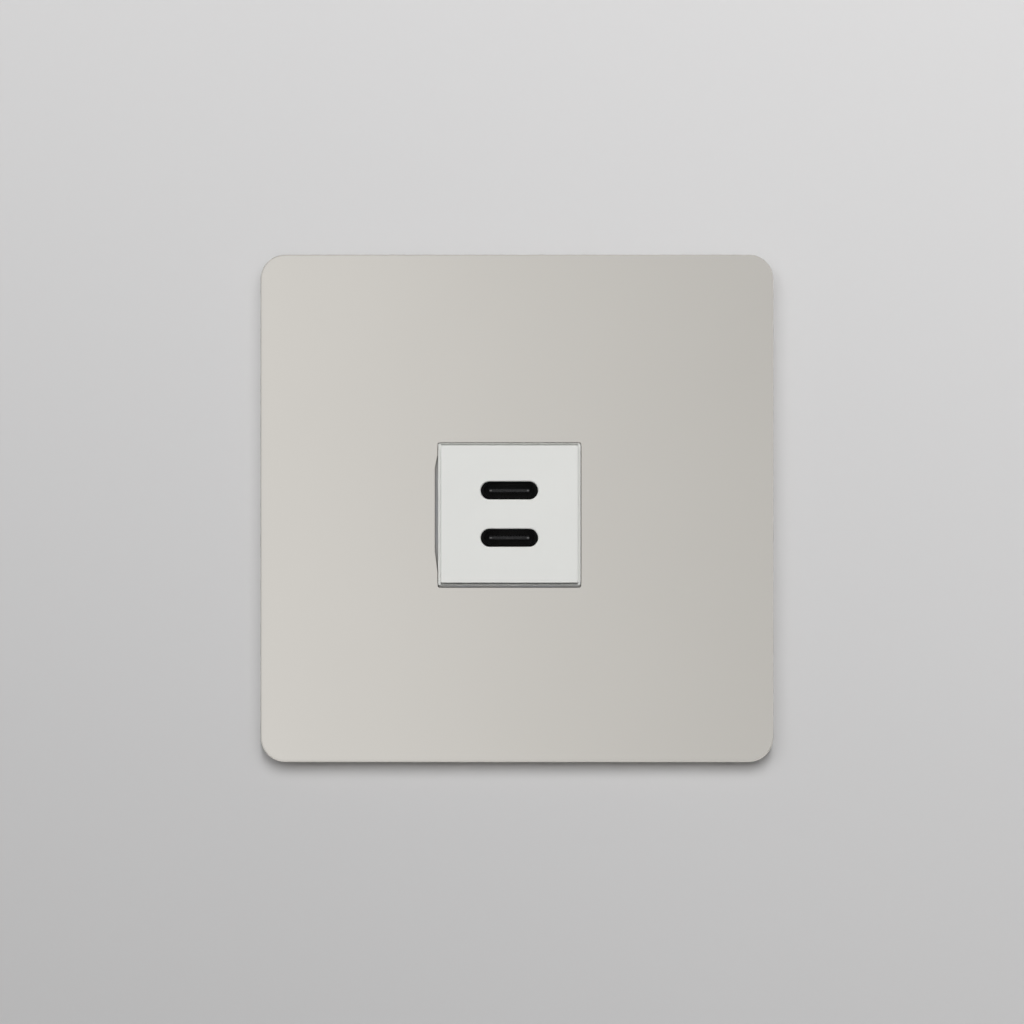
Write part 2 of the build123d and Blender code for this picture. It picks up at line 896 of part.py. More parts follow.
def make_transformer_bobbin():
    front, back = core_window()
    front += bobbin_clear
    back -= bobbin_clear
    inner_x = core_centre_leg / 2 + bobbin_clear
    inner_z = core_depth / 2 + bobbin_clear
    wall_x = inner_x + bobbin_wall
    wall_z = inner_z + bobbin_wall
    flange_x = core_width / 2 - core_leg - bobbin_clear
    flange_z = bobbin_depth / 2
    z = middle_row_z
    bobbin = block(core_x - wall_x, core_x + wall_x, front, back, z - wall_z, z + wall_z)
    for y0, y1 in ((front, front + bobbin_flange), (back - bobbin_flange, back)):
        bobbin += block(core_x - flange_x, core_x + flange_x, y0, y1, z - flange_z, z + flange_z)
    foot_in = core_depth / 2 + bobbin_clear
    for side in (-1, 1):
        z_in = z + side * foot_in
        z_out = z + side * flange_z
        bobbin += block(
            core_x - flange_x,
            core_x + flange_x,
            back - bobbin_flange,
            power_board_front,
            min(z_in, z_out),
            max(z_in, z_out),
        )
    bobbin -= block(core_x - inner_x, core_x + inner_x, front, back, z - inner_z, z + inner_z)
    return bobbin


def make_transformer_winding():
    front, back = core_window()
    front += bobbin_clear + bobbin_flange
    back -= bobbin_clear + bobbin_flange
    wall_x = core_centre_leg / 2 + bobbin_clear + bobbin_wall
    wall_z = core_depth / 2 + bobbin_clear + bobbin_wall
    room_x = core_width / 2 - core_leg - bobbin_clear - wall_x
    room_z = bobbin_depth / 2 - wall_z
    build = min(winding_build, room_x - bobbin_clear, room_z)
    outer = rounded(
        core_x, middle_row_z, 2 * (wall_x + build), 2 * (wall_z + build), build / 2
    )
    inner = Pos(core_x, middle_row_z) * Rectangle(2 * wall_x, 2 * wall_z)
    return prism(outer, front, back) - prism(inner, front, back)


def make_can(x, z, r, height):
    """A round capacitor can with its crimp groove near the circuit board."""
    front = power_board_front - height
    can = rod(x, z, r, front, power_board_front)
    can = fillet(front_edges(can), can_edge_r)
    groove_back = power_board_front - can_groove_height + can_groove_width
    groove_front = power_board_front - can_groove_height
    ring = rod(x, z, r, groove_front, groove_back)
    return can - (ring - rod(x, z, r - can_groove_depth, groove_front, groove_back))


def make_small_block(x, z, width, length, height):
    """A moulded component body on the board, with its front edges eased."""
    front = power_board_front - height
    body = block(
        x - width / 2, x + width / 2, front, power_board_front, z - length / 2, z + length / 2
    )
    return chamfer(front_edges(body), body_edge)


def make_disc_part(x, z, r, thickness):
    """A dipped disc that stands on edge on two flat leads."""
    y = power_board_front - r - lead_width
    disc = Pos(x, y, z) * Cylinder(r, thickness)
    disc = fillet(disc.edges().filter_by(GeomType.CIRCLE), disc_edge_r)
    for side in (-1, 1):
        lead_x = x + side * lead_spread / 2
        half = lead_width / 2
        disc += block(lead_x - half, lead_x + half, y, power_board_front, z - half, z + half)
    return disc


def choke_ring(bore, outer, half):
    y = power_board_front - choke_r
    ring = Cylinder(outer, 2 * half) - Cylinder(bore, 2 * half)
    return Pos(choke_x, y, middle_row_z) * ring


def make_choke_core():
    core_half = choke_thickness / 2 - choke_winding_build
    return choke_ring(choke_bore_r + choke_winding_build, choke_r - choke_winding_build, core_half)


def make_choke_winding():
    """Flat turns round the ring, joined by a thin tape layer at the bore."""
    y = power_board_front - choke_r
    sleeve = choke_ring(choke_bore_r, choke_r, choke_thickness / 2)
    sleeve -= make_choke_core()
    gap_half = choke_turn_width / 2
    for i in range(choke_turns):
        angle = 360 / choke_turns * (i + 0.5)
        cut = Box(
            choke_r,
            2 * gap_half,
            choke_thickness,
            align=(Align.MIN, Align.CENTER, Align.CENTER),
        )
        reach = choke_bore_r + choke_winding_build / 2
        sleeve -= Pos(choke_x, y, middle_row_z) * Rot(0, 0, angle) * Pos(reach, 0, 0) * cut
    return sleeve


def make_inductor(x, z):
    front = power_board_front - inductor_height
    drum = rod(x, z, inductor_r, front, power_board_front)
    waist_front = front + inductor_flange
    waist_back = power_board_front - inductor_flange
    ring = rod(x, z, inductor_r, waist_front, waist_back)
    return drum - (ring - rod(x, z, inductor_r - inductor_neck, waist_front, waist_back))


# Housing

def housing_shell(y0, y1):
    return prism(rounded(0, 0, housing_width, housing_height, housing_corner_r), y0, y1)


def housing_bore(y0, y1):
    r = housing_corner_r - housing_wall
    return prism(rounded(0, 0, inner_width, inner_height, r), y0, y1)


def make_inner_housing():
    housing = housing_shell(0, parting) - housing_bore(housing_front, parting)
    for sx, sz in corners:
        boss_end = housing_front + module_screw_length
        housing += rod(sx * module_screw_x, sz * module_screw_z, module_boss_r, 0, boss_end)
        housing += rod(sx * pillar_x, sz * pillar_z, pillar_r, 0, parting)
        peg_x = sx * board_peg_x
        peg_z = sz * board_peg_z
        housing += rod(peg_x, peg_z, board_post_r, 0, port_board_front)
        housing += rod(peg_x, peg_z, board_peg_r, 0, sheet_back + board_peg_rise)
    bar_bottom = mains_head + bar_far
    rib_low = cage_high + terminal_guide_clear
    for side in (-1, 1):
        x = side * terminal_spacing / 2
        half = bar_width / 2 + rib_thickness
        housing += block(x - half, x + half, 0, bar_bottom, rib_low, rib_low + rib_thickness)
    recess = flange_size + 2 * recess_clear
    housing -= prism(rounded(0, 0, recess, recess, cap_corner_r), 0, cap_flange_thickness)
    window = cap_size - 2 * (cap_wall + insert_clear + window_ledge)
    housing -= prism(rounded(0, 0, window, window, cap_corner_r), 0, housing_front)
    for sx, sz in corners:
        hole_r = module_screw_r + screw_hole_clear
        housing -= rod(sx * module_screw_x, sz * module_screw_z, hole_r, 0, module_screw_length)
        hole_r = cover_screw_r + screw_hole_clear
        housing -= rod(sx * pillar_x, sz * pillar_z, hole_r, parting - cover_screw_bite, parting)
    return housing


def make_rear_cover():
    cover = housing_shell(parting, rear_outer)
    cover = fillet(cover.faces().sort_by(Axis.Y)[-1].edges(), housing_edge_r)
    cover -= housing_bore(parting, rear_inner)
    head_back = rear_outer - cover_screw_recess
    for sx, sz in corners:
        cover += rod(sx * pillar_x, sz * pillar_z, pillar_r, parting, rear_inner)
        cover -= rod(
            sx * pillar_x,
            sz * pillar_z,
            cover_screw_head_r + cover_screw_clear,
            head_back - cover_screw_head_height,
            rear_outer,
        )
        hole_r = cover_screw_r + cover_screw_clear
        cover -= rod(sx * pillar_x, sz * pillar_z, hole_r, parting, rear_outer)
    for sx in (-1, 1):
        for peg_x, peg_z in rear_pegs:
            peg_front = power_board_front - board_peg_rise
            cover += rod(sx * peg_x, peg_z, board_post_r, power_board_back, rear_inner)
            cover += rod(sx * peg_x, peg_z, board_peg_r, peg_front, rear_inner)
    rib_in = cage_width / 2 + terminal_guide_clear
    for side in (-1, 1):
        x = side * terminal_spacing / 2
        for edge in (-1, 1):
            x0 = x + edge * rib_in
            x1 = x + edge * (rib_in + rib_thickness)
            cover += block(min(x0, x1), max(x0, x1), parting, rear_inner, inner_bottom, cage_high)
        cover -= rod(x, cage_z, driver_hole_r, rear_inner, rear_outer)
        entry = Pos(x, mains_entry_y, inner_bottom) * Cylinder(
            wire_entry_r, housing_wall, align=(Align.CENTER, Align.CENTER, Align.MAX)
        )
        funnel = Pos(x, mains_entry_y, inner_bottom - housing_wall) * Cone(
            wire_entry_r + wire_entry_chamfer,
            wire_entry_r,
            wire_entry_chamfer,
            align=(Align.CENTER, Align.CENTER, Align.MIN),
        )
        cover -= entry
        cover -= funnel
    panel = rounded(0, board_centre_z, label_width, label_height, label_depth)
    cover -= prism(panel, rear_outer - label_depth, rear_outer)
    first = -vent_pitch * (vent_count - 1) / 2
    for i in range(vent_count):
        vent = Pos(first + i * vent_pitch, top_row_z) * SlotOverall(vent_length, vent_width, 90)
        cover -= prism(vent, rear_inner, rear_outer)
    return cover


def make_module_screws():
    screws = []
    for sx, sz in corners:
        x = sx * module_screw_x
        z = sz * module_screw_z
        cone_end = yoke_front + module_screw_head_r - module_screw_r
        head = cone(x, z, module_screw_head_r, yoke_front, module_screw_r, cone_end)
        half = driver_slot_width / 2
        reach = module_screw_head_r
        slot_floor = yoke_front + driver_slot_depth
        head -= block(x - reach, x + reach, yoke_front, slot_floor, z - half, z + half)
        screws.append(head + rod(x, z, module_screw_r, cone_end, module_screw_length))
    return solids_of(screws)


def make_cover_screws():
    head_back = rear_outer - cover_screw_recess
    head_front = head_back - cover_screw_head_height
    screws = []
    for sx, sz in corners:
        x = sx * pillar_x
        z = sz * pillar_z
        head = rod(x, z, cover_screw_head_r, head_front, head_back)
        head = fillet(head.faces().sort_by(Axis.Y)[-1].edges(), cover_screw_head_edge_r)
        half = driver_slot_width / 2
        reach = cover_screw_head_r
        slot_floor = head_back - driver_slot_depth
        head -= block(x - reach, x + reach, slot_floor, head_back, z - half, z + half)
        screws.append(head + rod(x, z, cover_screw_r, parting - cover_screw_bite, head_front))
    return solids_of(screws)


# Whole socket

parts["front_plate"] = make_front_plate()
parts["plate_insert"] = make_plate_insert()
for number, (sx, sz) in enumerate(corners, start=1):
    parts[f"plate_magnet_{number}"] = make_magnet(sx, sz)

parts["mounting_yoke"] = make_yoke()
parts["wall_screw_left"] = make_wall_screw(-1)
parts["wall_screw_right"] = make_wall_screw(1)
parts["earth_bracket"] = make_earth_bracket()
parts["earth_spring"] = make_earth_spring()
parts["earth_rivets"] = make_earth_rivets()
parts["earth_cage"] = make_cage(0, earth_cage_low, earth_head)
parts["earth_screw"] = make_terminal_screw(0, earth_z, earth_head)

module = {}
module["module_cap"] = make_cap()
module["port_insert"] = make_port_insert()
for name, z in port_zs.items():
    module[f"port_shell_{name}"] = make_port_shell(z)
    module[f"port_tongue_{name}"] = make_tongue(z)
    module[f"port_latch_plate_{name}"] = make_latch_plate(z)
    module[f"port_contacts_{name}"] = solids_of(contact_blocks(z))
module["port_board"] = make_port_board()
module["insulation_sheet"] = make_insulation_sheet()
module["power_board"] = make_power_board()
module["link_header"] = make_link_header()
module["link_pins"] = make_link_pins()
module["transformer_core"] = make_transformer_core()
module["transformer_bobbin"] = make_transformer_bobbin()
module["transformer_winding"] = make_transformer_winding()
for number, side in enumerate((-1, 1), start=1):
    z = middle_row_z + side * (bulk_capacitor_r + part_gap / 2)
    module[f"bulk_capacitor_{number}"] = make_can(bulk_x, z, bulk_capacitor_r, bulk_capacitor_height)

rectifier_z = middle_row_low + rectifier_length / 2
chip_z = middle_row_low + rectifier_length + part_gap + chip_length / 2
transistor_z = middle_row_low + small_part_stack - transistor_length / 2
module["bridge_rectifier"] = make_small_block(
    small_x, rectifier_z, rectifier_width, rectifier_length, rectifier_height
)
module["controller_chip"] = make_small_block(small_x, chip_z, chip_width, chip_length, chip_height)
module["switching_transistor"] = make_small_block(
    small_x, transistor_z, transistor_width, transistor_length, transistor_height
)

filter_x, varistor_x, fuse_x = row_centres(bottom_row_widths)
module["filter_capacitor"] = make_small_block(
    filter_x, bottom_row_z, x_capacitor_width, x_capacitor_depth, x_capacitor_height
)
module["varistor"] = make_disc_part(varistor_x, bottom_row_z, varistor_r, varistor_thickness)
fuse_front = power_board_front - fuse_height
module["fuse"] = fillet(
    front_edges(rod(fuse_x, bottom_row_z, fuse_r, fuse_front, power_board_front)), body_edge
)
module["choke_core"] = make_choke_core()
module["choke_winding"] = make_choke_winding()

safety_x, output_x_1, output_x_2, inductor_x = row_centres(top_row_widths)
module["safety_capacitor"] = make_disc_part(
    safety_x, top_row_z, y_capacitor_r, y_capacitor_thickness
)
for number, x in ((1, output_x_1), (2, output_x_2)):
    module[f"output_capacitor_{number}"] = make_can(
        x, top_row_z, output_capacitor_r, output_capacitor_height
    )
module["output_inductor"] = make_inductor(inductor_x, top_row_z)

module["inner_housing"] = make_inner_housing()
module["rear_cover"] = make_rear_cover()
module["module_screws"] = make_module_screws()
module["cover_screws"] = make_cover_screws()
for name, side in (("live", 1), ("neutral", -1)):
    x = side * terminal_spacing / 2
    module[f"{name}_bar"] = make_mains_bar(x)
    module[f"{name}_cage"] = make_cage(x, cage_low, mains_head)
    module[f"{name}_screw"] = make_terminal_screw(x, cage_z, mains_head)

for name, shape in module.items():
    parts[name] = in_module(shape)

os.makedirs("parts", exist_ok=True)
for name, shape in parts.items():
    export_step(shape, f"parts/{name}.step")
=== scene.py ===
import json
import math

import bmesh
import bpy
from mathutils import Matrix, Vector


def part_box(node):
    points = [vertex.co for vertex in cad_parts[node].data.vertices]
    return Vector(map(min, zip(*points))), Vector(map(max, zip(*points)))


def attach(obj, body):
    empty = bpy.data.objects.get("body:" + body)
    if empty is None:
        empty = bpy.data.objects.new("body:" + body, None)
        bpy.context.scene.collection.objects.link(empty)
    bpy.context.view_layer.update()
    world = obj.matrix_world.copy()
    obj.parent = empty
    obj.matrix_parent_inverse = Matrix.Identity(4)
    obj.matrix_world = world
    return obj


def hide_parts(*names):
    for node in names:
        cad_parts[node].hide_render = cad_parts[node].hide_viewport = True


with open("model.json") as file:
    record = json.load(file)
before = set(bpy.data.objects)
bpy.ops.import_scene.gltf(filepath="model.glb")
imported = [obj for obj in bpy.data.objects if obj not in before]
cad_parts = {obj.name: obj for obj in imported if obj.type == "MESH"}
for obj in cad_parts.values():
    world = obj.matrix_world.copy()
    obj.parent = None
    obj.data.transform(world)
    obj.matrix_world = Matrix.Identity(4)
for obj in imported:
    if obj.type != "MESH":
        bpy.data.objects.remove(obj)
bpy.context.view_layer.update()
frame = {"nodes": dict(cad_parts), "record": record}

# The looks of a USB wall socket: its materials, the threads of its screws, and a wall with painted
# light on it to show it on. Metres: +X is right, +Z is up, the front faces -Y and the wall plane is
# y = 0.
MM = 0.001
WHITE = (1.0, 1.0, 1.0)

# The photograph: the plate's front is 513 px wide and 86 mm, and the picture's middle lies
# a little left of and below the plate's centre.
PHOTO_PX = 1024
PLATE_PX = 513.0
LEFT_OF_CENTRE_PX = 5.0
BELOW_CENTRE_PX = 3.65
PLATE_WIDTH = 86.0 * MM
LENS_MM = 150.0
SENSOR_MM = 36.0
CLIP_START = 0.01

# Textures: most of a noise's values lie from NOISE_LOW to NOISE_HIGH, a colour drifts over a
# narrower range of them, and bands repeat every pi / 10 at a scale of 1
NOISE_LOW = 0.3
NOISE_HIGH = 0.7
NOISE_ROUGHNESS = 0.55
DRIFT_LOW = 0.35
DRIFT_HIGH = 0.65
BAND_PERIOD = math.pi / 10.0

# Worn edges: how far they reach, and how much of the flat's normal the most worn place keeps
PLASTIC_EDGE_R = 0.12 * MM
METAL_EDGE_R = 0.08 * MM
EDGE_AGREEMENT = 0.8
EDGE_SAMPLES = 6

# The cap's side and shoulder carry painted shade, a little darker than its face, for the shade in
# the recess round the cap: the colour changes between these depths
CAP_FACE_Y = -4.3 * MM
CAP_SHOULDER_Y = -3.8 * MM
SHOULDER_PAINTED_SHADE = 0.95

# Circuit board: the pitches of its tracks, across and along
TRACK_PITCH_X = 1.27 * MM
TRACK_PITCH_Z = 1.9 * MM

# Screw threads: right-handed, with the crest at the solid's own radius. The shank's root is
# buried in the head, and the thread rises to its full height over its first turns.
THREAD_SIDES = 32
ROWS_PER_PITCH = 8
RUN_IN_TURNS = 2
ROOT_FLAT = 0.12
FLANK_SHARE = 0.72
WALL_THREAD = {
    "major": 1.75 * MM,
    "minor": 1.42 * MM,
    "pitch": 0.6 * MM,
    "tip_r": 0.85 * MM,
    "tip_length": 0.9 * MM,
}
TERMINAL_THREAD = {
    "major": 1.45 * MM,
    "minor": 1.2 * MM,
    "pitch": 0.5 * MM,
    "tip_r": 1.15 * MM,
    "tip_length": 0.4 * MM,
}
TERMINAL_HEAD_HEIGHT = 1.8 * MM
COLLAR = 0.1 * MM
BURIED = 0.3 * MM
WELD_DISTANCE = 1e-7
SHARP_ANGLE = math.radians(35)

# Wall: its sheet lies a hair behind the plate's back, so that it doesn't share that plane, and
# rays that start within NEAR_REACH of it pass, so that it doesn't darken that back
WALL_Y = 0.002 * MM
NEAR_REACH = 0.02 * MM
WALL_HALF = 1.6
BOX_HALF = 35.0 * MM
WALL_COLOUR = (0.77, 0.765, 0.765)
# Painted light on the wall: along this slant its colour's share runs from darker at the bottom left
# to lighter at the top right
WALL_LIGHT_SLANT = (0.6, 0, 1)
WALL_PAINTED_SHADE_END = (-0.15, 0.82)
WALL_PAINTED_LIGHT_END = (0.15, 1.14)

# Floor and backdrop
FLOOR_Z = -0.75
FLOOR_HALF = 5.0
FLOOR_COLOUR = (0.72, 0.72, 0.72)
FLOOR_GLOW = 0.42
BACKDROP_R = 6.0
BACKDROP_COLOUR = (0.72, 0.72, 0.725)
BACKDROP_GLOW = 1.0
STAGE_ROUGHNESS = 0.9
STAGE_SPECULAR = 0.1

# A large card in front of the plate, which its mirror face shows: brighter at the left
CARD_Y = -1.3
CARD_HALF = 0.32
CARD_SLANT = (1, 0, 0)
CARD_LEFT = (-0.12, 0.905)
CARD_RIGHT = (0.12, 0.705)

# A path with fewer matt bounces than this has had none
FIRST_BOUNCE = 0.5

# Lights: the key is a tall, narrow softbox above the camera's axis, and the fill a wide one
# round it, both square on to the wall; the third lights the back
LIGHT_Y = -1.2
KEY_X = 0.03
KEY_Z = 0.55
KEY_SIZE = (0.10, 0.90)
KEY_POWER = 6.3
FILL_X = -0.12
FILL_Z = 0.50
FILL_SIZE = (1.60, 0.75)
FILL_POWER = 9.0
REAR_PLACE = (-0.5, 0.9, 0.6)
REAR_SIZE = (0.8, 0.8)
REAR_POWER = 8.0

# The room: a little brighter above than below
ROOM_COLOUR = (1.0, 1.0, 1.01)
ROOM_LOW = 0.03
ROOM_HIGH = 0.25


# Node helpers

class Nodes:
    """The node tree of a new material or world, with short ways to add and link nodes."""

    def __init__(self, owner):
        owner.use_nodes = True
        self.tree = owner.node_tree

    def node(self, kind, **values):
        made = self.tree.nodes.new(kind)
        for name, value in values.items():
            setattr(made, name, value)
        return made

    def link(self, source, target):
        self.tree.links.new(source, target)

    def object_place(self):
        """Object coordinates, in metres."""
        return self.node("ShaderNodeTexCoord").outputs["Object"]

    def spread(self, value, low, high, from_low=NOISE_LOW, from_high=NOISE_HIGH):
        """Maps a texture value to a range."""
        made = self.node("ShaderNodeMapRange")
        self.link(value, made.inputs["Value"])
        made.inputs["From Min"].default_value = from_low
        made.inputs["From Max"].default_value = from_high
        made.inputs["To Min"].default_value = low
        made.inputs["To Max"].default_value = high
        return made.outputs["Result"]

    def math(self, operation, first, second):
        made = self.node("ShaderNodeMath", operation=operation)
        for value, socket in zip((first, second), made.inputs):
            if isinstance(value, float):
                socket.default_value = value
            else:
                self.link(value, socket)
        return made.outputs["Value"]

    def along(self, direction, near, far):
        """A value that runs along a direction, each end being (place, value)."""
        reach = self.node("ShaderNodeVectorMath", operation="DOT_PRODUCT")
        self.link(self.object_place(), reach.inputs[0])
        reach.inputs[1].default_value = direction
        return self.spread(
            reach.outputs["Value"], low=near[1], high=far[1], from_low=near[0], from_high=far[0]
        )


class Finish(Nodes):
    """A material under construction: a principled shader and the nodes that feed it."""

    def __init__(self, name, colour, roughness, metallic=0.0):
        self.material = bpy.data.materials.new(name)
        super().__init__(self.material)
        self.shader = self.tree.nodes["Principled BSDF"]
        self.set("Base Color", (*colour, 1.0))
        self.set("Roughness", roughness)
        self.set("Metallic", metallic)
        self.place = self.object_place()
        self.normal = None

    def set(self, name, value):
        self.shader.inputs[name].default_value = value

    def noise(self, scale, detail=3.0, vector=None):
        made = self.node("ShaderNodeTexNoise")
        self.link(vector or self.place, made.inputs["Vector"])
        made.inputs["Scale"].default_value = scale
        made.inputs["Detail"].default_value = detail
        made.inputs["Roughness"].default_value = NOISE_ROUGHNESS
        return made.outputs["Fac"]

    def drawn(self, scale, detail=3.0):
        """Noise drawn out by its own scale along each axis, in cycles per metre."""
        mapping = self.node("ShaderNodeMapping")
        self.link(self.place, mapping.inputs["Vector"])
        mapping.inputs["Scale"].default_value = scale
        return self.noise(1.0, detail, mapping.outputs["Vector"])

    def cells(self, scale, feature="F1"):
        """The distance to the nearest of many scattered points."""
        made = self.node("ShaderNodeTexVoronoi", feature=feature)
        self.link(self.place, made.inputs["Vector"])
        made.inputs["Scale"].default_value = scale
        return made.outputs["Distance"]

    def bands(self, pitch, axis, waver):
        """Rounded bands across an axis, pitch metres apart."""
        made = self.node("ShaderNodeTexWave", wave_type="BANDS", bands_direction=axis)
        self.link(self.place, made.inputs["Vector"])
        made.inputs["Scale"].default_value = BAND_PERIOD / pitch
        made.inputs["Distortion"].default_value = waver
        return made.outputs["Fac"]

    def ramp(self, value, first, last):
        """A colour ramp between two stops, each being (position, colour)."""
        made = self.node("ShaderNodeValToRGB")
        self.link(value, made.inputs["Fac"])
        for element, (position, colour) in zip(made.color_ramp.elements, (first, last)):
            element.position = position
            element.color = (*colour, 1.0)
        return made.outputs["Color"]

    def layered(self, factor, under, over):
        """Lays a plain colour over a textured one where the factor is high."""
        made = self.node("ShaderNodeMixRGB")
        self.link(factor, made.inputs["Fac"])
        self.link(under, made.inputs["Color1"])
        made.inputs["Color2"].default_value = (*over, 1.0)
        return made.outputs["Color"]

    def worn_edges(self, radius):
        """Rounds sharp edges in the shading, and tells them from the flats: 0 is flat, 1 an edge."""
        soft = self.node("ShaderNodeBevel", samples=EDGE_SAMPLES)
        soft.inputs["Radius"].default_value = radius
        flat = self.node("ShaderNodeNewGeometry")
        agree = self.node("ShaderNodeVectorMath", operation="DOT_PRODUCT")
        self.link(soft.outputs["Normal"], agree.inputs[0])
        self.link(flat.outputs["Normal"], agree.inputs[1])
        self.normal = soft.outputs["Normal"]
        self.link(self.normal, self.shader.inputs["Normal"])
        return self.spread(
            agree.outputs["Value"], low=1.0, high=0.0, from_low=EDGE_AGREEMENT, from_high=1.0
        )

    def colour_from(self, output):
        self.link(output, self.shader.inputs["Base Color"])

    def roughness_from(self, output):
        self.link(output, self.shader.inputs["Roughness"])

    def bump(self, height, distance, strength=1.0):
        """Adds a layer of relief, distance being its depth in metres."""
        made = self.node("ShaderNodeBump")
        made.inputs["Strength"].default_value = strength
        made.inputs["Distance"].default_value = distance
        self.link(height, made.inputs["Height"])
        if self.normal is not None:
            self.link(self.normal, made.inputs["Normal"])
        self.normal = made.outputs["Normal"]
        self.link(self.normal, self.shader.inputs["Normal"])


def shade(colour, factor):
    return tuple(min(1.0, c * factor) for c in colour)


def mottled(finish, colour, scale, low, high):
    """Slight, slow variation of a colour."""
    drift = finish.noise(scale, detail=2.0)
    return finish.ramp(drift, (DRIFT_LOW, shade(colour, low)), (DRIFT_HIGH, shade(colour, high)))


# Material families

def moulded(name, colour, roughness, grain=6000.0, depth=4.0e-6, edge_lift=1.25):
    """A plastic moulding: spark-eroded pebble, slow sink marks, and edges rubbed lighter."""
    finish = Finish(name, colour, roughness)
    rubbed = finish.worn_edges(PLASTIC_EDGE_R)
    base = mottled(finish, colour, scale=120.0, low=0.96, high=1.04)
    rubbing = finish.spread(finish.noise(scale=900.0), low=0.1, high=0.8)
    patchy = finish.math("MULTIPLY", rubbed, rubbing)
    finish.colour_from(finish.layered(patchy, base, shade(colour, edge_lift)))
    haze = finish.noise(scale=250.0, detail=4.0)
    finish.roughness_from(finish.spread(haze, low=roughness - 0.06, high=roughness + 0.06))
    sink_marks = finish.noise(scale=60.0, detail=1.0)
    finish.bump(sink_marks, distance=30.0e-6, strength=0.4)
    finish.bump(finish.cells(grain, "SMOOTH_F1"), distance=depth)
    return finish


def metal(name, colour, tint, roughness):
    """Rolled or drawn metal: grain one way, patches of a second tint, and bright worn edges."""
    finish = Finish(name, colour, roughness, metallic=1.0)
    rubbed = finish.worn_edges(METAL_EDGE_R)
    patches = finish.noise(scale=140.0, detail=4.0)
    base = finish.ramp(patches, (0.38, colour), (0.62, tint))
    finish.colour_from(finish.layered(rubbed, base, shade(colour, 1.18)))
    lines = finish.drawn(scale=(300.0, 300.0, 6000.0))
    specks = finish.spread(finish.noise(scale=2600.0, detail=2.0), low=0.9, high=1.1)
    streaks = finish.math("MULTIPLY", lines, specks)
    finish.roughness_from(finish.spread(streaks, low=roughness - 0.01, high=roughness + 0.03))
    finish.bump(lines, distance=3.0e-7)
    return finish


def wound(name, colour, groove_shade_colour, pitch, axis, roughness, metallic=0.0):
    """Turns of wire or tape laid side by side, with painted shade in the grooves between the turns.
    """
    finish = Finish(name, colour, roughness, metallic)
    turns = finish.bands(pitch, axis, waver=0.6)
    # Painted shade: the colour darkens in the grooves between turns
    finish.colour_from(finish.ramp(turns, (0.05, groove_shade_colour), (0.35, colour)))
    haze = finish.noise(scale=700.0)
    finish.roughness_from(finish.spread(haze, low=roughness - 0.05, high=roughness + 0.08))
    finish.bump(turns, distance=60.0e-6)
    return finish


def dipped(name, colour, roughness=0.18):
    """A glossy dipped or shrunk-on skin with orange peel."""
    finish = Finish(name, colour, roughness)
    finish.colour_from(mottled(finish, colour, scale=300.0, low=0.9, high=1.1))
    peel = finish.noise(scale=1400.0, detail=1.0)
    finish.roughness_from(finish.spread(peel, low=roughness, high=roughness + 0.08))
    finish.bump(peel, distance=12.0e-6)
    return finish


# Materials of their own

def polished_nickel(name):
    """Mirror plating over buffed brass, with a trace of haze and the finest buffing lines."""
    colour = (0.70, 0.676, 0.634)
    finish = Finish(name, colour, roughness=0.12, metallic=1.0)
    finish.colour_from(mottled(finish, colour, scale=35.0, low=0.996, high=1.004))
    haze = finish.noise(scale=60.0, detail=4.0)
    finish.roughness_from(finish.spread(haze, low=0.10, high=0.13))
    buffing = finish.drawn(scale=(90.0, 400.0, 9000.0), detail=2.0)
    finish.bump(buffing, distance=1.5e-7)
    return finish


def white_cap(name):
    """Satin white moulding with a very fine, even texture, and painted shade on its recessed side
    and shoulder.
    """
    colour = (0.86, 0.865, 0.835)
    finish = Finish(name, colour, roughness=0.42)
    face = mottled(finish, colour, scale=90.0, low=0.992, high=1.006)
    # Painted shade: the colour darkens from the face's depth to the shoulder's depth
    depth = finish.node("ShaderNodeSeparateXYZ")
    finish.link(finish.place, depth.inputs["Vector"])
    painted_shade_by_depth = finish.spread(
        depth.outputs["Y"], low=0.0, high=1.0, from_low=CAP_FACE_Y, from_high=CAP_SHOULDER_Y
    )
    finish.colour_from(finish.layered(painted_shade_by_depth, face, shade(colour, SHOULDER_PAINTED_SHADE)))
    satin = finish.noise(scale=5200.0, detail=2.0)
    finish.roughness_from(finish.spread(satin, low=0.38, high=0.46))
    finish.bump(satin, distance=1.2e-6)
    return finish


def tongue_plastic(name):
    """Glass-filled black plastic with fibres that show as fine pale flecks."""
    finish = Finish(name, colour=(0.012, 0.012, 0.013), roughness=0.38)
    finish.set("Specular IOR Level", 0.25)
    fibres = finish.drawn(scale=(5200.0, 5200.0, 9000.0), detail=2.0)
    dark = (0.004, 0.004, 0.005)
    pale = (0.034, 0.034, 0.035)
    finish.colour_from(finish.ramp(fibres, (0.40, dark), (0.66, pale)))
    finish.roughness_from(finish.spread(fibres, low=0.32, high=0.48))
    finish.bump(fibres, distance=6.0e-6)
    return finish


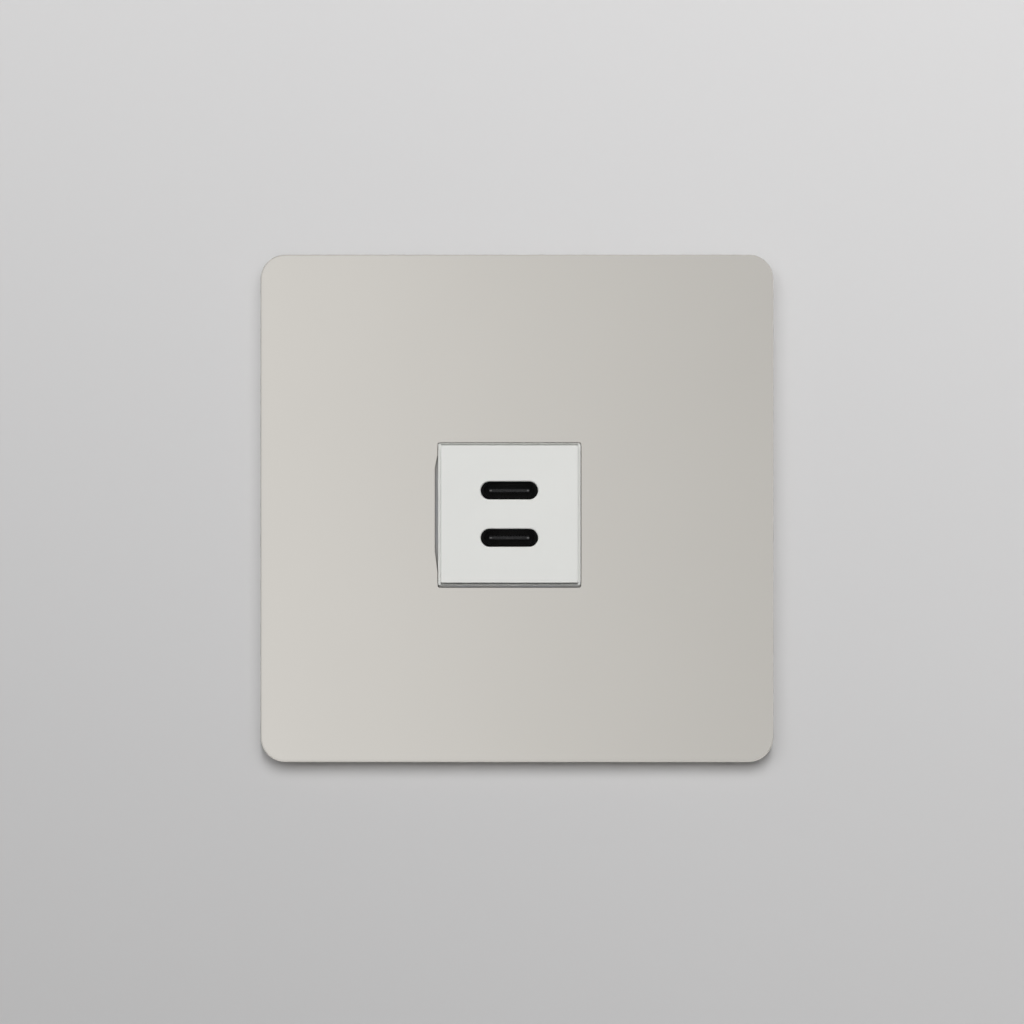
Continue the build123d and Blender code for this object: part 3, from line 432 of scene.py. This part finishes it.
def circuit_board(name):
    """Green solder mask over tracks, with tinned dots where parts are soldered."""
    mask_colour = (0.012, 0.10, 0.045)
    track_colour = (0.03, 0.20, 0.09)
    solder_colour = (0.62, 0.62, 0.60)
    finish = Finish(name, colour=(0.02, 0.15, 0.07), roughness=0.28)
    across = finish.bands(TRACK_PITCH_X, "X", waver=1.5)
    along = finish.bands(TRACK_PITCH_Z, "Z", waver=1.5)
    crosswise = finish.spread(across, 0.0, 1.0, from_low=0.80, from_high=0.86)
    lengthwise = finish.spread(along, 0.0, 1.0, from_low=0.84, from_high=0.90)
    tracks = finish.math("MAXIMUM", crosswise, lengthwise)
    mask = mottled(finish, mask_colour, scale=400.0, low=0.9, high=1.1)
    tracked = finish.layered(tracks, mask, track_colour)
    dots = finish.spread(finish.cells(scale=420.0), 1.0, 0.0, from_low=0.10, from_high=0.14)
    finish.colour_from(finish.layered(dots, tracked, solder_colour))
    finish.roughness_from(finish.spread(finish.noise(scale=500.0), low=0.22, high=0.34))
    finish.bump(tracks, distance=25.0e-6)
    return finish


def zinc_steel(name):
    """Bright zinc plating, drifting between blue and straw."""
    blue = (0.56, 0.57, 0.59)
    straw = (0.60, 0.59, 0.565)
    finish = metal(name, blue, straw, roughness=0.30)
    finish.bump(finish.cells(1800.0, "SMOOTH_F1"), distance=1.0e-6)
    return finish


def port_black(name):
    """Dead black moulding, with a fine matt grain and hardly any gloss."""
    finish = moulded(name, colour=(0.0045, 0.0045, 0.0045), roughness=0.6)
    finish.set("Specular IOR Level", 0.04)
    return finish


# What makes each slot's material, and the values that follow the name there
RECIPES = {
    "polished_nickel": (polished_nickel,),
    "insert_plastic": (moulded, (0.022, 0.022, 0.024), 0.5),
    "magnet_plating": (metal, (0.66, 0.64, 0.60), (0.62, 0.61, 0.58), 0.16),
    "zinc_steel": (zinc_steel,),
    "screw_steel": (metal, (0.60, 0.60, 0.60), (0.52, 0.53, 0.55), 0.26),
    "terminal_brass": (metal, (0.75, 0.56, 0.27), (0.62, 0.42, 0.18), 0.24),
    "spring_bronze": (metal, (0.70, 0.42, 0.22), (0.56, 0.32, 0.18), 0.25),
    "white_cap": (white_cap,),
    "port_black": (port_black,),
    "port_steel": (metal, (0.005, 0.005, 0.0055), (0.004, 0.004, 0.004), 0.4),
    "tongue_plastic": (tongue_plastic,),
    "latch_steel": (metal, (0.22, 0.22, 0.22), (0.17, 0.17, 0.175), 0.42),
    "contact_gold": (metal, (0.80, 0.60, 0.30), (0.74, 0.54, 0.26), 0.25),
    "circuit_board": (circuit_board,),
    "film": (dipped, (0.55, 0.50, 0.32), 0.25),
    "header_black": (moulded, (0.02, 0.02, 0.02), 0.5),
    "pin_tin": (metal, (0.66, 0.66, 0.64), (0.58, 0.58, 0.57), 0.28),
    "ferrite": (moulded, (0.05, 0.05, 0.052), 0.5, 3000.0, 15.0e-6),
    "winding_tape": (wound, (0.75, 0.52, 0.06), (0.50, 0.32, 0.03), 1.4 * MM, "Y", 0.28),
    "enamelled_copper": (wound, (0.62, 0.22, 0.07), (0.12, 0.03, 0.01), 0.45 * MM, "X", 0.25, 1.0),
    "can_sleeve": (dipped, (0.02, 0.03, 0.06)),
    "can_aluminium": (metal, (0.80, 0.80, 0.81), (0.76, 0.76, 0.77), 0.24),
    "epoxy_black": (moulded, (0.02, 0.02, 0.02), 0.45),
    "filter_case": (moulded, (0.70, 0.50, 0.08), 0.3, 3000.0, 2.0e-6),
    "blue_dip": (dipped, (0.03, 0.12, 0.40)),
    "fuse_case": (moulded, (0.10, 0.05, 0.03), 0.3),
    "housing_plastic": (moulded, (0.045, 0.047, 0.05), 0.52, 5200.0, 14.0e-6, 1.6),
}

finishes = {name: make(name, *values) for name, (make, *values) in RECIPES.items()}
slot_of = {part["node"]: part["material_slot"] for part in frame["record"]["subparts"]}


def dress(obj, slot):
    obj.data.materials.clear()
    obj.data.materials.append(finishes[slot].material)


for node, slot in slot_of.items():
    dress(frame["nodes"][node], slot)


# Threaded screws, which stand for the plain ones

def mesh_of(name, built):
    """Turns what bmesh built into a mesh."""
    mesh = bpy.data.meshes.new(name)
    built.to_mesh(mesh)
    built.free()
    return mesh


def threaded_rod(x, z, start, stop, major, minor, pitch, tip_r, tip_length):
    """A rod along Y from its root to its tip, threaded, tapered at the tip and closed."""
    rows = round(abs(stop - start) / pitch * ROWS_PER_PITCH)
    rod = bmesh.new()
    rings = []
    for row in range(rows + 1):
        y = start + (stop - start) * row / rows
        run_in = min(1.0, abs(y - start) / (RUN_IN_TURNS * pitch))
        limit = tip_r + (major - tip_r) * min(1.0, abs(stop - y) / tip_length)
        ring = []
        for side in range(THREAD_SIDES):
            turn = side / THREAD_SIDES
            crest = 1.0 - abs(2.0 * ((y / pitch + turn) % 1.0) - 1.0)
            rise = min(1.0, max(0.0, (crest - ROOT_FLAT) / FLANK_SHARE))
            r = min(limit, minor + (major - minor) * rise * run_in)
            angle = 2.0 * math.pi * turn
            ring.append(rod.verts.new((x + r * math.cos(angle), y, z + r * math.sin(angle))))
        rings.append(ring)
    for ring, next_ring in zip(rings, rings[1:]):
        for side in range(THREAD_SIDES):
            after = (side + 1) % THREAD_SIDES
            rod.faces.new((ring[side], ring[after], next_ring[after], next_ring[side]))
    rod.faces.new(rings[0])
    rod.faces.new(rings[-1])
    bmesh.ops.recalc_face_normals(rod, faces=rod.faces)
    return mesh_of("thread", rod)


def head_of(node, level, side):
    """A copy of a screw's head: its solid on one side of a level along Y, closed there."""
    head = bmesh.new()
    head.from_mesh(frame["nodes"][node].data)
    bmesh.ops.remove_doubles(head, verts=head.verts, dist=WELD_DISTANCE)
    cut = bmesh.ops.bisect_plane(
        head,
        geom=head.verts[:] + head.edges[:] + head.faces[:],
        plane_co=(0, level, 0),
        plane_no=(0, -side, 0),
        clear_outer=True,
    )
    rim = [item for item in cut["geom_cut"] if isinstance(item, bmesh.types.BMEdge)]
    bmesh.ops.holes_fill(head, edges=rim)
    bmesh.ops.recalc_face_normals(head, faces=head.faces)
    return mesh_of("head", head)


def united(name, first, second):
    """One object whose mesh is the union of two closed meshes."""
    whole = bpy.data.objects.new(name, first)
    other = bpy.data.objects.new("other", second)
    for obj in (whole, other):
        bpy.context.collection.objects.link(obj)
    union = whole.modifiers.new("union", "BOOLEAN")
    union.operation = "UNION"
    union.solver = "EXACT"
    union.object = other
    graph = bpy.context.evaluated_depsgraph_get()
    mesh = bpy.data.meshes.new_from_object(whole.evaluated_get(graph))
    whole.modifiers.clear()
    whole.data = mesh
    bpy.data.objects.remove(other)
    mesh.shade_smooth()
    mesh.set_sharp_from_angle(angle=SHARP_ANGLE)
    return whole


def stand_in(node, body, head, shank):
    """A threaded screw in the place of a plain one."""
    screw = united(f"threaded_{node}", head, shank)
    dress(screw, slot_of[node])
    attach(screw, body)
    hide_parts(node)


def axis_in(low, high):
    """Where a screw's axis runs, across and up, from the corners of its box."""
    return (low[0] + high[0]) / 2, (low[2] + high[2]) / 2


for hand in ("left", "right"):
    node = f"wall_screw_{hand}"
    low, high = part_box(node)
    shank = threaded_rod(*axis_in(low, high), -COLLAR - BURIED, high[1], **WALL_THREAD)
    stand_in(node, "wall_frame", head_of(node, -COLLAR, -1), shank)

for wire in ("live", "neutral", "earth"):
    node = f"{wire}_screw"
    low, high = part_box(node)
    under_head = high[1] - TERMINAL_HEAD_HEIGHT
    shank = threaded_rod(*axis_in(low, high), under_head + BURIED, low[1], **TERMINAL_THREAD)
    stand_in(node, f"{wire}_screw_body", head_of(node, under_head - COLLAR, 1), shank)


# Camera, at the photograph's angle: straight on

metres_per_px = PLATE_WIDTH / PLATE_PX
plate_low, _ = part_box("front_plate")
plate_front = plate_low[1]
camera_distance = metres_per_px * PHOTO_PX * LENS_MM / SENSOR_MM
camera_data = bpy.data.cameras.new("camera")
camera_data.lens = LENS_MM
camera_data.sensor_width = SENSOR_MM
camera_data.clip_start = CLIP_START
camera = bpy.data.objects.new("camera", camera_data)
camera.location = (
    -LEFT_OF_CENTRE_PX * metres_per_px,
    plate_front - camera_distance,
    -BELOW_CENTRE_PX * metres_per_px,
)
camera.rotation_euler = (math.radians(90), 0, 0)
bpy.context.collection.objects.link(camera)
bpy.context.scene.camera = camera


# Stage: a wall with painted light across it and a wall-box opening behind the plate, a plain pale
# floor and backdrop

def staged(name, mesh, material):
    obj = bpy.data.objects.new(name, mesh)
    bpy.context.collection.objects.link(obj)
    obj.data.materials.append(material)
    return obj


def sheet_of(name, faces):
    """A mesh of separate flat faces, each a list of its corners."""
    mesh = bpy.data.meshes.new(name)
    points = [corner for face in faces for corner in face]
    count = iter(range(len(points)))
    mesh.from_pydata(points, [], [[next(count) for corner in face] for face in faces])
    return mesh


def one_sided(name, colour, glow=0.0, painted_light_fade=None):
    """A matt surface, plain unless painted light is given, that shows only from its front, and that
    lets rays through that start close to it; painted_light_fade is (direction, from, to), with the
    share of
    the colour at each end: painted light, lighter towards one end."""
    finish = Finish(name, colour, STAGE_ROUGHNESS)
    finish.set("Specular IOR Level", STAGE_SPECULAR)
    finish.set("Emission Color", (*WHITE, 1.0))
    finish.set("Emission Strength", glow)
    if painted_light_fade:
        paint = finish.node("ShaderNodeVectorMath", operation="SCALE")
        paint.inputs[0].default_value = colour
        finish.link(finish.along(*painted_light_fade), paint.inputs["Scale"])
        finish.colour_from(paint.outputs["Vector"])
    path = finish.node("ShaderNodeLightPath")
    side = finish.node("ShaderNodeNewGeometry")
    starts_near = finish.math("LESS_THAN", path.outputs["Ray Length"], NEAR_REACH)
    open_here = finish.math("MAXIMUM", starts_near, side.outputs["Backfacing"])
    clear = finish.node("ShaderNodeBsdfTransparent")
    mix = finish.node("ShaderNodeMixShader")
    finish.link(open_here, mix.inputs["Fac"])
    finish.link(finish.shader.outputs["BSDF"], mix.inputs[1])
    finish.link(clear.outputs["BSDF"], mix.inputs[2])
    finish.link(mix.outputs["Shader"], finish.tree.nodes["Material Output"].inputs["Surface"])
    return finish.material


def glowing(name, colour, strength):
    """A material that only gives light, and none by way of a mirror to a matt surface, so that
    the wall stays a shade darker beside the plate; strength is a number or (direction, from, to)."""
    material = bpy.data.materials.new(name)
    light = Nodes(material)
    light.tree.nodes.clear()
    if isinstance(strength, tuple):
        strength = light.along(*strength)
    path = light.node("ShaderNodeLightPath")
    unscattered = light.math("LESS_THAN", path.outputs["Diffuse Depth"], FIRST_BOUNCE)
    glow = light.node("ShaderNodeEmission")
    glow.inputs["Color"].default_value = (*colour, 1.0)
    light.link(light.math("MULTIPLY", unscattered, strength), glow.inputs["Strength"])
    out = light.node("ShaderNodeOutputMaterial")
    light.link(glow.outputs["Emission"], out.inputs["Surface"])
    return material


def wall_faces():
    """Four strips round the wall-box opening, facing -Y."""
    far, near = WALL_HALF, BOX_HALF
    strips = [
        (-far, far, near, far),
        (-far, far, FLOOR_Z, -near),
        (-far, -near, -near, near),
        (near, far, -near, near),
    ]
    y = WALL_Y
    return [[(x0, y, z0), (x1, y, z0), (x1, y, z1), (x0, y, z1)] for x0, x1, z0, z1 in strips]


def floor_face():
    """One square, facing up."""
    far, z = FLOOR_HALF, FLOOR_Z
    return [(-far, -far, z), (far, -far, z), (far, far, z), (-far, far, z)]


def card_face():
    """One square, facing the plate."""
    far, y = CARD_HALF, CARD_Y
    return [(-far, y, -far), (-far, y, far), (far, y, far), (far, y, -far)]


def backdrop_sphere():
    sphere = bmesh.new()
    bmesh.ops.create_icosphere(sphere, subdivisions=4, radius=BACKDROP_R)
    return mesh_of("backdrop", sphere)


# The wall's colour carries painted light: darker towards the bottom left, lighter towards the top
# right
wall_paint = one_sided("wall_paint", WALL_COLOUR, painted_light_fade=(WALL_LIGHT_SLANT, WALL_PAINTED_SHADE_END, WALL_PAINTED_LIGHT_END))
staged("wall", sheet_of("wall", wall_faces()), wall_paint)

floor_paint = one_sided("floor_paint", FLOOR_COLOUR, glow=FLOOR_GLOW)
floor = staged("floor", sheet_of("floor", [floor_face()]), floor_paint)
floor.visible_diffuse = False

backdrop_glow = glowing("backdrop_glow", BACKDROP_COLOUR, BACKDROP_GLOW)
backdrop = staged("backdrop", backdrop_sphere(), backdrop_glow)
backdrop.visible_diffuse = False
backdrop.visible_transmission = False
backdrop.visible_shadow = False

card_glow = glowing("card_glow", WHITE, (CARD_SLANT, CARD_LEFT, CARD_RIGHT))
card = staged("front_card", sheet_of("front_card", [card_face()]), card_glow)
card.visible_camera = False
card.visible_diffuse = False
card.visible_shadow = False


# Lights and room

def area_light(name, place, size, power, target):
    data = bpy.data.lights.new(name, "AREA")
    data.shape = "RECTANGLE"
    data.size, data.size_y = size
    data.energy = power
    light = bpy.data.objects.new(name, data)
    light.location = place
    direction = Vector(target) - Vector(place)
    light.rotation_euler = direction.to_track_quat("-Z", "Y").to_euler()
    light.visible_camera = False
    bpy.context.collection.objects.link(light)
    return light


key = area_light("key", (KEY_X, LIGHT_Y, KEY_Z), KEY_SIZE, KEY_POWER, (KEY_X, 0, KEY_Z))
key.visible_glossy = False
fill = area_light("fill", (FILL_X, LIGHT_Y, FILL_Z), FILL_SIZE, FILL_POWER, (FILL_X, 0, FILL_Z))
fill.visible_glossy = False
area_light("rear_key", REAR_PLACE, REAR_SIZE, REAR_POWER, (0, 0, 0))

world = bpy.data.worlds.new("studio")
bpy.context.scene.world = world
room = Nodes(world)
background = room.tree.nodes["Background"]
view = room.node("ShaderNodeTexCoord")
heights = room.node("ShaderNodeSeparateXYZ")
room.link(view.outputs["Generated"], heights.inputs["Vector"])
level = room.spread(heights.outputs["Z"], ROOM_LOW, ROOM_HIGH, from_low=-1.0, from_high=1.0)
room.link(level, background.inputs["Strength"])
background.inputs["Color"].default_value = (*ROOM_COLOUR, 1.0)

bpy.context.scene.view_settings.view_transform = "Standard"
